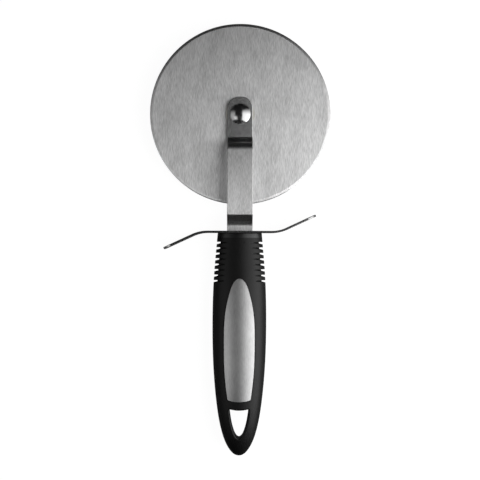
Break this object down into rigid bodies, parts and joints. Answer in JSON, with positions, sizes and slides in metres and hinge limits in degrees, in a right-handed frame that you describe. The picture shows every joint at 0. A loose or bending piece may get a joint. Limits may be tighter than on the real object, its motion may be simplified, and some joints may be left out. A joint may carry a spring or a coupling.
{
  "type": "wheel pizza cutter",
  "caption": "Wheel pizza cutter with a steel blade in a bent fork, an S-shaped finger guard and a soft ribbed handle with a hanging hole.",
  "frame": {"origin": "centre of the bounding box, at its bottom", "axes": "+Y from the handle to the blade, +Z out of the front face, +X to the right of the front face"},
  "size_m": [0.1, 0.2389, 0.021],
  "materials": {
    "blade_steel": "brushed",
    "strip_steel": "satin",
    "polished_steel": "polished",
    "inlay_steel": "fine brushed",
    "washer_plastic": "matt",
    "core_plastic": "satin",
    "grip_rubber": "matt",
    "tape": "matt"
  },
  "bodies": {
    "frame": {"front_arm": "strip_steel", "rear_arm": "strip_steel", "rivet_stud": "polished_steel", "rivet_sleeve": "polished_steel", "finger_guard": "strip_steel", "tang_pins": "strip_steel", "handle_core": "core_plastic", "soft_grip": "grip_rubber", "inlay_plate": "inlay_steel", "inlay_tape": "tape"},
    "wheel": {"blade": "blade_steel"},
    "washer_front": {"front_washer": "washer_plastic"},
    "washer_rear": {"rear_washer": "washer_plastic"}
  },
  "joints": [
    {"name": "blade_spin", "type": "hinge", "parent": "frame", "child": "wheel", "pos_m": [0, 0.06945, 0.0105], "axis": [0, 0, 1], "continuous": true},
    {"name": "front_washer_spin", "type": "hinge", "parent": "frame", "child": "washer_front", "pos_m": [0, 0.06945, 0.0105], "axis": [0, 0, 1], "continuous": true},
    {"name": "rear_washer_spin", "type": "hinge", "parent": "frame", "child": "washer_rear", "pos_m": [0, 0.06945, 0.0105], "axis": [0, 0, 1], "continuous": true}
  ]
}
